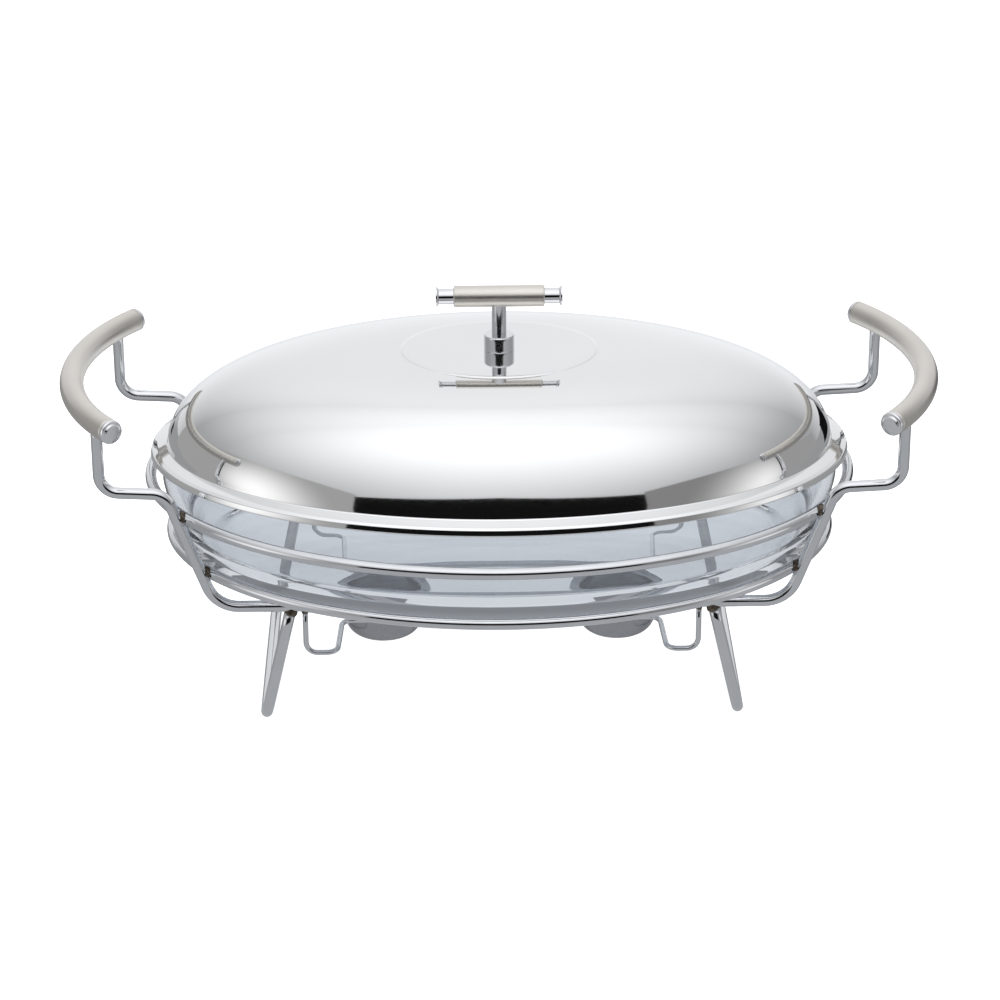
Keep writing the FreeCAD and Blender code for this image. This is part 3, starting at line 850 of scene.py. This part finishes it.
class OBJECT_OT_chafing_caps(Operator):
    """The bright caps in the ends of the handle tubes"""
    bl_idname = "object.chafing_caps"
    bl_label = "Handle Caps"

    def execute(self, context):
        radius, centre, height, half, tube = handle_curve()
        plug, depth = 0.0049, 0.006
        face, rim, collar, top = 0.0048, 0.0012, 0.0022, 0.0032
        outline = [
            (plug, -depth), (plug, 0), (tube, 0), (tube, rim), (face + 0.0010, collar),
            (face, collar), (face - 0.0008, top), (0.0005, top),
        ]
        bends = [0, 0.0002, 0.0006, 0.0006, 0.0002, 0.0006]
        shape = turned(rounded(outline, bends, turn=15), sides=64)
        r_cos, r_sin, along = np.moveaxis(shape, -1, 0)
        x = centre + (radius + r_cos) * math.cos(half) - along * math.sin(half)
        y = (radius + r_cos) * math.sin(half) + along * math.cos(half)
        grid = np.stack([x, y, height + r_sin], axis=-1)
        for end, y_side in (("rear", 1), ("front", -1)):
            for side, x_side in (("right", 1), ("left", -1)):
                add_piece(f"{side}_{end}_handle_cap", [patch(mirrored(grid, x_side, y_side))],
                          "cap_chrome", "rack")
        return {"FINISHED"}


# Cups, glass and lid

class OBJECT_OT_chafing_cups(Operator):
    """The two drawn cups that hang in their rings by a flat flange"""
    bl_idname = "object.chafing_cups"
    bl_label = "Burner Cups"

    def execute(self, context):
        s = settings()
        low, high = box("right_burner_cup")
        flange = (high[0] - low[0]) / 2
        wall, radius = s.cup_wall, s.cup_radius
        top, bottom = high[2], low[2]
        outline = [
            (AXIS_GAP, bottom), (radius, bottom), (radius, top - wall), (flange, top - wall),
            (flange, top), (radius - wall, top), (radius - wall, bottom + wall),
            (AXIS_GAP, bottom + wall),
        ]
        neck, edge = 0.0006, wall * 0.45
        bends = [s.cup_bottom_bend, neck, edge, edge, neck * 2, s.cup_bottom_bend - wall]
        grid = turned(rounded(outline, bends, turn=6))
        for side in ("left", "right"):
            node = side + "_burner_cup"
            shift = np.array([middle(node)[0], 0, 0])
            add_piece(node, [patch(grid + shift)], "cup_steel", side + "_cup")
        return {"FINISHED"}


class OBJECT_OT_chafing_glass(Operator):
    """The clear oval dish: flat base, round heel, swelling wall and an upright lip"""
    bl_idname = "object.chafing_glass"
    bl_label = "Glass Dish"

    def execute(self, context):
        """The outline runs from the base's middle round the wall to the floor's middle.

        The wall swells by the belly times sin(pi share^2), share being the height's part
        between the floor and the lip.
        """
        s = settings()
        low, high = box("glass_dish")
        base, rim = low[2], high[2]
        rim_a, rim_b = high[0], high[1]
        base_a, base_b = s.glass_base_x, s.glass_base_y
        wall, floor, lip = s.glass_wall, s.glass_floor, s.glass_lip
        lip_a, lip_b = rim_a - s.glass_lip_flare, rim_b - s.glass_lip_flare

        def beside_base(out, up):
            return base_a + out, base_b + out, base + up

        outline = [
            (0.002, 0.0012, base),
            beside_base(0, 0),
            beside_base(0.0049, 0.0027),
            beside_base(0.007, 0.009),
            (lip_a, lip_b, rim - lip),
            (rim_a, rim_b, rim),
            (rim_a - wall, rim_b - wall, rim),
            (lip_a - wall, lip_b - wall, rim - lip),
            beside_base(0.0025, 0.017),
            beside_base(-0.013, floor),
            (0.002, 0.0012, base + floor),
        ]
        bends = [0.004, 0.005, 0.015, 0.006, 0.0018, 0.0018, 0.006, 0.012, 0.010]
        profile = divided(rounded(outline, bends, turn=9), spacing=0.004)
        share = np.clip((profile[:, 2:] - base - floor) / (rim - lip - base - floor), 0, 1)
        profile[:, :2] += s.glass_belly * np.sin(np.pi * share ** 2)
        grid = oval_shape(profile, sides=288)
        add_piece("glass_dish", [patch(grid)], "dish_glass", "dish")
        return {"FINISHED"}


def dome_axes(foot, share):
    """Half axes of the dome's level oval at a share of its rise.

    Each is the foot's half axis times (1 - share ^ flatness) ^ (1 / roundness).
    """
    s = settings()
    a = foot[0] * (1 - share ** s.dome_flatness_x) ** (1 / s.dome_roundness_x)
    b = foot[1] * (1 - share ** s.dome_flatness_y) ** (1 / s.dome_roundness_y)
    return a, b


def dome_share(foot, x, y):
    """Share of the dome's rise over each (x, y): halving finds the level oval through it."""
    low, high = np.zeros(x.shape), np.ones(x.shape)
    for _ in range(HALVINGS):
        share = (low + high) / 2
        a, b = dome_axes(foot, share)
        inside = (x / a) ** 2 + (y / b) ** 2 < 1
        low = np.where(inside, share, low)
        high = np.where(inside, high, share)
    return low


def smooth_step(value):
    """v^2 (3 - 2 v), with v kept between 0 and 1."""
    value = np.clip(value, 0, 1)
    return value * value * (3 - 2 * value)


def lid_surface(sides=400):
    """The lid's outside as a grid, from the hem to the middle of the plateau.

    Hem, shoulder, brim and foot are ovals with rounded corners. The dome's rows are its level
    ovals, and near the top they turn into the plateau's outline, with heights from dome_share.
    Over the last of them a smooth step lifts the surface from the dome to the flat plateau.
    """
    s = settings()
    low, high = box("lid_shell")
    hem = np.array([high[0], high[1], low[2] + s.sheet / 2])
    shoulder = hem + [-s.skirt_lean, -s.skirt_lean, s.skirt_upright]
    brim = np.array([high[0] - s.skirt_run_x, high[1] - s.skirt_run_y, low[2] + s.skirt_height])
    foot = brim + [-s.brim_run_x, -s.brim_run_y, s.brim_rise]
    rise = high[2] - s.plateau_step - foot[2]
    angle = np.radians(np.linspace(3, 60, 39))
    share = (1 - np.cos(angle) ** s.dome_roundness_x) ** (1 / s.dome_flatness_x)
    dome = np.stack([*dome_axes(foot, share), foot[2] + rise * share], axis=-1)
    bends = [s.brim_round, s.brim_round, s.foot_round]
    skirt = rounded([hem, shoulder, brim, foot, dome[0]], bends, turn=9)
    lower = oval_shape(np.concatenate([divided(skirt, spacing=0.0009)[:-1], dome]), sides)

    outline = np.array([s.plateau_x, s.plateau_y])
    turn = np.linspace(0, 1, 13)[1:, None]
    crown = dome[-1, :2] * (1 - turn) + outline * turn
    step = outline - np.linspace(0, s.step_width, 7)[1:, None]
    flat = step[-1] * np.array([0.92, 0.7, 0.4, 0.15, 0.02])[:, None]
    axes = np.concatenate([crown, step, flat])
    upper = oval_shape(np.column_stack([axes, np.zeros(len(axes))]), sides)
    on_dome = foot[2] + rise * dome_share(foot, upper[..., 0], upper[..., 1])
    lift = smooth_step((s.plateau_x - axes[:, :1]) / s.step_width)
    upper[..., 2] = on_dome * (1 - lift) + high[2] * lift
    return np.concatenate([lower, upper])


def thickened(grid, sheet):
    """A closed shell: the surface, its copy one sheet further in, and a half round hem.

    The normal is the cross product of the grid's steps around and along it. The hem's rows are
    its middle + across cos t + down sin t.
    """
    along = np.gradient(grid, axis=0)
    around = np.roll(grid, -1, axis=1) - np.roll(grid, 1, axis=1)
    normal = unit(np.cross(around, along))
    inside = grid - normal * sheet
    middle_hem = (grid[0] + inside[0]) / 2
    across = (grid[0] - inside[0]) / 2
    down = unit(grid[0] - grid[1]) * sheet / 2
    t = np.radians([150, 120, 90, 60, 30])[:, None, None]
    hem = middle_hem + across * np.cos(t) + down * np.sin(t)
    return np.concatenate([inside[::-1], hem, grid])


class OBJECT_OT_chafing_lid(Operator):
    """The pressed lid: hem, brim, dome and a low oval plateau"""
    bl_idname = "object.chafing_lid"
    bl_label = "Lid"

    def execute(self, context):
        shell = thickened(lid_surface(), settings().sheet)
        add_piece("lid_shell", [patch(shell)], "lid_mirror", "lid")
        return {"FINISHED"}


def along_x(grid):
    """A turned shape laid down: its axis along X at the knob bar's height."""
    height = middle("knob_rod")[2]
    return np.stack([grid[..., 2], grid[..., 0], grid[..., 1] + height], axis=-1)


def plain_outline(radius, start, end):
    """The outline of a plain turned piece, from one end face's middle to the other's."""
    return [(AXIS_GAP, start), (radius, start), (radius, end), (AXIS_GAP, end)]


def add_knob_piece(node, grid):
    """One bright piece of the knob."""
    add_piece(node, [patch(grid)], "cap_chrome", "lid")


class OBJECT_OT_chafing_knob(Operator):
    """The knob: collar, stem, bright rod, satin sleeve and the two flared tips"""
    bl_idname = "object.chafing_knob"
    bl_label = "Knob"

    def execute(self, context):
        for node, edges, turn, sides in (("knob_collar", (0.0003, 0.0009), 12, 96),
                                         ("knob_stem", (0.0003, 0.0003), 15, 72)):
            low, high = box(node)
            outline = plain_outline(high[0], low[2], high[2])
            add_knob_piece(node, turned(rounded(outline, edges, turn), sides))

        half, rod_radius = half_size("knob_rod")[:2]
        outline = plain_outline(rod_radius, -half, half)
        shape = turned(rounded(outline, [0.0002, 0.0002], turn=15), sides=72)
        add_knob_piece("knob_rod", along_x(shape))

        half, outer = half_size("knob_sleeve")[:2]
        inner = rod_radius + 0.00005
        outline = [(inner, 0), (inner, -half), (outer, -half),
                   (outer, half), (inner, half), (inner, 0)]
        edges = [0.0002, 0.0006, 0.0006, 0.0002]
        grid = along_x(turned(rounded(outline, edges, turn=15)[:-1], sides=72))
        closed = patch(grid, wrap_rows=True)
        add_piece("knob_sleeve", [closed], "satin_nickel", "lid")

        for node, side in (("knob_right_tip", 1), ("knob_left_tip", -1)):
            near, far = sorted(abs(corner[0]) for corner in box(node))
            r = half_size(node)[1]
            outline = [(AXIS_GAP, near), (r * 0.86, near), (r, near + 0.0005),
                       (r, far), (AXIS_GAP, far)]
            edges = [0.0003, 0.0003, 0.00035]
            grid = along_x(turned(rounded(outline, edges, turn=15), sides=72))
            add_knob_piece(node, mirrored(grid, x=side))
        return {"FINISHED"}


class OBJECT_OT_chafing_hardware(Operator):
    """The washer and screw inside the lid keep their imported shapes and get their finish"""
    bl_idname = "object.chafing_hardware"
    bl_label = "Lid Hardware"

    def execute(self, context):
        for name in ("knob_washer", "knob_screw"):
            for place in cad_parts[name].material_slots:
                place.material = finish("plain_steel")
        return {"FINISHED"}


# Studio

def flat_sheet(name, corners, material):
    """One four-cornered sheet of the studio."""
    mesh = bpy.data.meshes.new(name)
    mesh.from_pydata(corners, [], [(0, 1, 2, 3)])
    mesh.update()
    mesh.materials.append(material)
    sheet = new_object(name, mesh)
    return sheet


def level_sheet(name, height, material, reach=6.0):
    """A wide square sheet round the middle, at a height."""
    square = ((-reach, -reach), (reach, -reach), (reach, reach), (-reach, reach))
    return flat_sheet(name, [(x, y, height) for x, y in square], material)


def soft_light(name, place, target, size, power):
    """A rectangular light that aims at the target and isn't mirrored itself."""
    data = bpy.data.lights.new(name, "AREA")
    data.shape = "RECTANGLE"
    data.size, data.size_y = size
    data.energy = power
    light = new_object(name, data)
    light.location = place
    light.rotation_euler = (Vector(target) - Vector(place)).to_track_quat("-Z", "Y").to_euler()
    light.visible_glossy = False


def seen_only_in(sheet, kind):
    """Lets a studio sheet show only in reflections or only through glass, and light nothing."""
    sheet.visible_camera = False
    sheet.visible_diffuse = False
    sheet.visible_shadow = False
    sheet.visible_glossy = kind == "reflection"
    sheet.visible_transmission = kind == "glass"


def floor_paper():
    """White paper under the object, a little bright of its own so that shadows stay faint."""
    paper = Finish("floor_paper")
    tone = paper.blend(paper.noise(3.0), (0.90, 0.90, 0.90), (0.93, 0.93, 0.93))
    paper.set(Base_Color=tone, Roughness=0.9, Emission_Color=(1, 1, 1, 1), Emission_Strength=0.8)
    floor = level_sheet("floor", 0.0, paper.material)
    floor.visible_glossy = False
    floor.visible_transmission = False


def grey_table():
    """The table that the metal mirrors, just over the paper.

    Its glow follows the direction from the middle: grey at the sides, a little lighter in front
    and white at the back.
    """
    look = Finish("grey_table")
    where = look.add("ShaderNodeTexCoord").outputs["Object"]
    facing = look.add("ShaderNodeVectorMath", {"operation": "NORMALIZE"}, {0: where}).outputs[0]
    back = look.add("ShaderNodeSeparateXYZ", inputs={0: facing}).outputs["Y"]
    front_share = look.soft_between(back, 0.50, 0.36, start=-0.40, end=0.10)
    back_share = look.soft_between(back, 0.0, 0.60, start=0.70, end=0.98)
    speck = look.noise(4.0)
    glow = look.maths("ADD", front_share, back_share)
    glow = look.maths("ADD", glow, look.between(speck, -0.02, 0.02))
    look.glow_only((0.95, 0.97, 1.0), glow)
    seen_only_in(level_sheet("grey_table", 0.0003, look.material), "reflection")


def pale_table():
    """The paler table that shows through the glass."""
    look = Finish("pale_table")
    speck = look.noise(4.0)
    look.glow_only((0.93, 0.96, 1.0), look.between(speck, 0.78, 0.84))
    seen_only_in(level_sheet("pale_table", 0.0002, look.material), "glass")


def card(name, start, end, tops, glow, spot=None, shows_in="reflection"):
    """An upright card from one floor point to another, with a bright spot if one is given.

    The tops are its heights at the two points. The spot is a place, a radius and the glow that
    it adds at its middle, fading smoothly.
    """
    look = Finish(name)
    if spot:
        place, radius, more = spot
        where = look.add("ShaderNodeTexCoord").outputs["Object"]
        values = {0: where, 1: place}
        away = look.add("ShaderNodeVectorMath", {"operation": "DISTANCE"}, values).outputs["Value"]
        glow = look.soft_between(away, glow + more, glow, start=0.0, end=radius)
    look.glow_only((1, 1, 1), glow)
    corners = [(*start, 0.0), (*end, 0.0), (*end, tops[1]), (*start, tops[0])]
    seen_only_in(flat_sheet(name, corners, look.material), shows_in)


def card_ring():
    """The cards that the metal mirrors, and one that shows through the glass at the back.

    Two black ones stand behind the lens, a white and a grey one at each side, and two small
    black ones further back.
    """
    low = (0.424, 0.424)
    left_spot = ((-0.59, -0.31, 0.19), 0.31, 0.82)
    right_spot = ((0.79, -0.27, 0.14), 0.42, 0.76)
    card("black_front_left", (-1.15, -1.5), (0.0, -1.5), (0.87, 0.955), 0.006)
    card("black_front_right", (0.0, -1.5), (1.15, -1.5), (0.955, 0.87), 0.006)
    card("white_left", (-0.70, -0.135), (-0.402, -0.60), low, 0.40, left_spot)
    card("grey_left", (-1.40, 0.955), (-0.703, -0.13), low, 0.39)
    card("white_right", (0.405, -0.60), (0.925, -0.152), low, 0.26, right_spot)
    card("grey_right", (0.93, -0.148), (1.90, 0.845), low, 0.36)
    card("black_far_right", (0.62, 0.374), (0.468, 0.50), (0.155, 0.155), 0.006)
    card("black_far_left", (-0.461, 0.513), (-0.505, 0.485), (0.065, 0.065), 0.02)
    card("grey_back", (-4.0, 1.3), (4.0, 1.3), (0.5, 0.5), 0.42, shows_in="glass")


def studio_air(scene):
    """The room's glow in a direction (x, y, z), with Y to the back and each term kept above 0:

    0.42 + 0.8 ((z - 0.3) / 0.7) ^ 1.8 + (-y) (1.27 z - 0.33) + 1.1 (y - 0.45)
    """
    world = bpy.data.worlds.new("studio_air")
    scene.world = world
    world.use_nodes = True
    background = world.node_tree.nodes["Background"]
    background.inputs["Color"].default_value = (0.97, 0.98, 1.0, 1)
    air = ShaderTree(world.node_tree)
    where = air.add("ShaderNodeTexCoord").outputs["Generated"]
    split = air.add("ShaderNodeSeparateXYZ", inputs={0: where})
    y, z = split.outputs["Y"], split.outputs["Z"]
    overhead = air.maths("POWER", air.between(z, 0.0, 1.0, start=0.3, end=1.0), 1.8)
    overhead = air.maths("MULTIPLY_ADD", overhead, 0.8, 0.42)
    front = air.between(y, 1.0, 0.0, start=-1.0, end=0.0)
    rising = air.between(z, 0.0, 0.94, start=0.26, end=1.0)
    front = air.maths("MULTIPLY_ADD", front, rising, overhead)
    back = air.between(y, 0.0, 0.605, start=0.45, end=1.0)
    air.tree.links.new(air.maths("ADD", front, back), background.inputs["Strength"])


def photo_camera():
    """The camera at the photo's angle, distance and lens.

    It stands at a distance from its target, turned to the left and raised, and rolls a little
    about its own line of sight.
    """
    rise, turn, roll = np.radians([23.98, 0.96, -0.23])
    distance = 1.7591
    target = Vector((0, 0, 0.1175))
    data = bpy.data.cameras.new("photo_camera")
    data.lens = 120.3
    data.sensor_width = 36.0
    data.shift_x = 0.0004
    data.shift_y = -0.0345
    camera = new_object("photo_camera", data)
    flat = distance * math.cos(rise)
    away = (-flat * math.sin(turn), -flat * math.cos(turn), distance * math.sin(rise))
    camera.location = target + Vector(away)
    aim = (target - camera.location).to_track_quat("-Z", "Y").to_matrix()
    camera.rotation_euler = (aim @ Matrix.Rotation(roll, 3, "Z")).to_euler()
    return camera


class OBJECT_OT_chafing_stage(Operator):
    """Pale floor, the tables and cards that metal and glass show, a soft light and the camera"""
    bl_idname = "object.chafing_stage"
    bl_label = "Studio"

    def execute(self, context):
        scene = context.scene
        scene.view_settings.view_transform = "Standard"
        floor_paper()
        grey_table()
        pale_table()
        card_ring()
        studio_air(scene)
        soft_light("top_light", place=(0, 0.1, 1.9), target=(0, 0, 0.1), size=(2.4, 1.8),
                   power=12)
        scene.camera = photo_camera()
        return {"FINISHED"}


OPERATORS = (
    OBJECT_OT_chafing_main_wires,
    OBJECT_OT_chafing_rings,
    OBJECT_OT_chafing_legs,
    OBJECT_OT_chafing_burner_rack,
    OBJECT_OT_chafing_welds,
    OBJECT_OT_chafing_handles,
    OBJECT_OT_chafing_caps,
    OBJECT_OT_chafing_cups,
    OBJECT_OT_chafing_glass,
    OBJECT_OT_chafing_lid,
    OBJECT_OT_chafing_knob,
    OBJECT_OT_chafing_hardware,
    OBJECT_OT_chafing_stage,
)


class VIEW3D_PT_chafing_dish(Panel):
    """All settings, and one button for each group of pieces"""
    bl_label = "Chafing Dish"
    bl_space_type = "VIEW_3D"
    bl_region_type = "UI"
    bl_category = "Chafing Dish"

    def draw(self, context):
        group = context.scene.chafing_dish
        for key in group.__annotations__:
            self.layout.prop(group, key)
        for operator in OPERATORS:
            self.layout.operator(operator.bl_idname)


CLASSES = (ChafingDishSettings, *OPERATORS, VIEW3D_PT_chafing_dish)


def register():
    for each in CLASSES:
        bpy.utils.register_class(each)
    bpy.types.Scene.chafing_dish = PointerProperty(type=ChafingDishSettings)


def unregister():
    del bpy.types.Scene.chafing_dish
    for each in reversed(CLASSES):
        bpy.utils.unregister_class(each)


def main():
    register()
    for operator in OPERATORS:
        group, name = operator.bl_idname.split(".")
        getattr(getattr(bpy.ops, group), name)()


if __name__ == "__main__":
    main()
